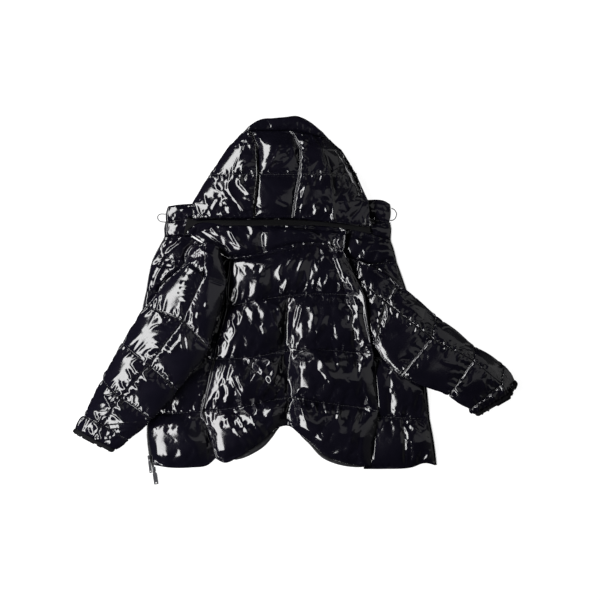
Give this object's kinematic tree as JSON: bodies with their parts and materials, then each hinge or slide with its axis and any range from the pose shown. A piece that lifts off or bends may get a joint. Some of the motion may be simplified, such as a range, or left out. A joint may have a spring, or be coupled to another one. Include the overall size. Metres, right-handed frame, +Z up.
{
  "type": "hooded puffer jacket laid flat",
  "caption": "Glossy hooded puffer jacket laid flat and unzipped, back up, with quilted panels, spread fronts and sleeves, collar cord loops and an open zip.",
  "frame": {"origin": "middle of the laid-out jacket's outline, on the surface it lies on", "axes": "+X right along the hem as seen from above, +Y from the hem to the hood, +Z up from the surface"},
  "size_m": [1.2008, 1.0039, 0.0796],
  "materials": {
    "shell": "coated nylon, wet-look gloss",
    "cuff": "elastic nylon binding, satin",
    "flap": "matte woven strip",
    "tape": "matte woven zip tape",
    "cord": "thin braided elastic",
    "slider": "dark lacquered die-cast metal"
  },
  "bodies": {
    "jacket": {"front_left": "shell", "front_right": "shell", "collar": "shell", "back_yoke": "shell", "back": "shell", "sleeve_left_outer": "shell", "sleeve_left_inner": "shell", "sleeve_right_outer": "shell", "sleeve_right_inner": "shell", "cuff_left": "cuff", "cuff_right": "cuff", "hood_side_left": "shell", "hood_side_right": "shell", "hood_crown": "shell", "hood_brim": "shell", "hem_facing_left": "shell", "hem_facing_right": "shell", "hood_zip_flap": "flap", "zip_tape_left": "tape", "zip_tape_right": "tape", "collar_cord_left": "cord", "collar_cord_right": "cord", "zip_slider_upper": "slider", "zip_slider_lower": "slider"},
    "upper_pull": {"zip_pull_upper": "slider"},
    "lower_pull": {"zip_pull_lower": "slider"}
  },
  "joints": [
    {"name": "upper_pull_lift", "type": "hinge", "parent": "jacket", "child": "upper_pull", "pos_m": [-0.39574, -0.42849, 0.0066], "axis": [-0.9944, -0.1058, 0], "range_deg": [0, 150]},
    {"name": "lower_pull_lift", "type": "hinge", "parent": "jacket", "child": "lower_pull", "pos_m": [-0.38166, -0.45948, 0.0066], "axis": [-0.9904, -0.1382, 0], "range_deg": [0, 150]}
  ]
}
